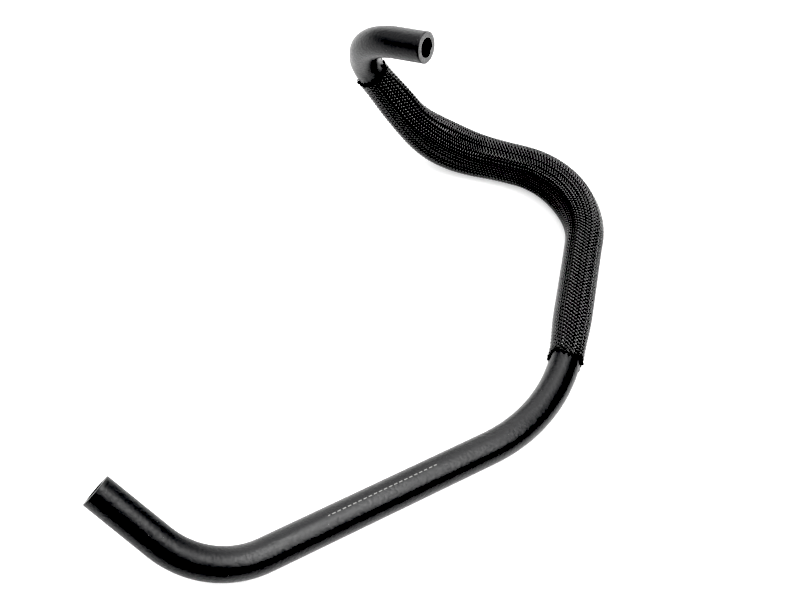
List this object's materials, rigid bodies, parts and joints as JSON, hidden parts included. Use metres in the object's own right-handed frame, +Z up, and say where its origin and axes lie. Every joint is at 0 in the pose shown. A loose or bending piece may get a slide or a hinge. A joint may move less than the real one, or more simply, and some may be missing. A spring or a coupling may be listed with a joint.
{
  "type": "oil cooler hose with braided sleeve",
  "caption": "Moulded black rubber oil cooler hose with six bends, plain square-cut ends and a loose braided abrasion sleeve over its upper stretch.",
  "frame": {"origin": "middle of the bounding box, on the surface that the hose lies on", "axes": "+X along the long straight leg, from the lower end towards the sleeve; +Z up from the surface that it lies on"},
  "size_m": [0.3714, 0.2434, 0.1292],
  "materials": {
    "hose_rubber": "satin moulded",
    "sleeve_braid": "braided synthetic yarn, slightly glossy"
  },
  "bodies": {
    "root": {"hose": "hose_rubber", "braided_sleeve": "sleeve_braid"}
  },
  "joints": []
}
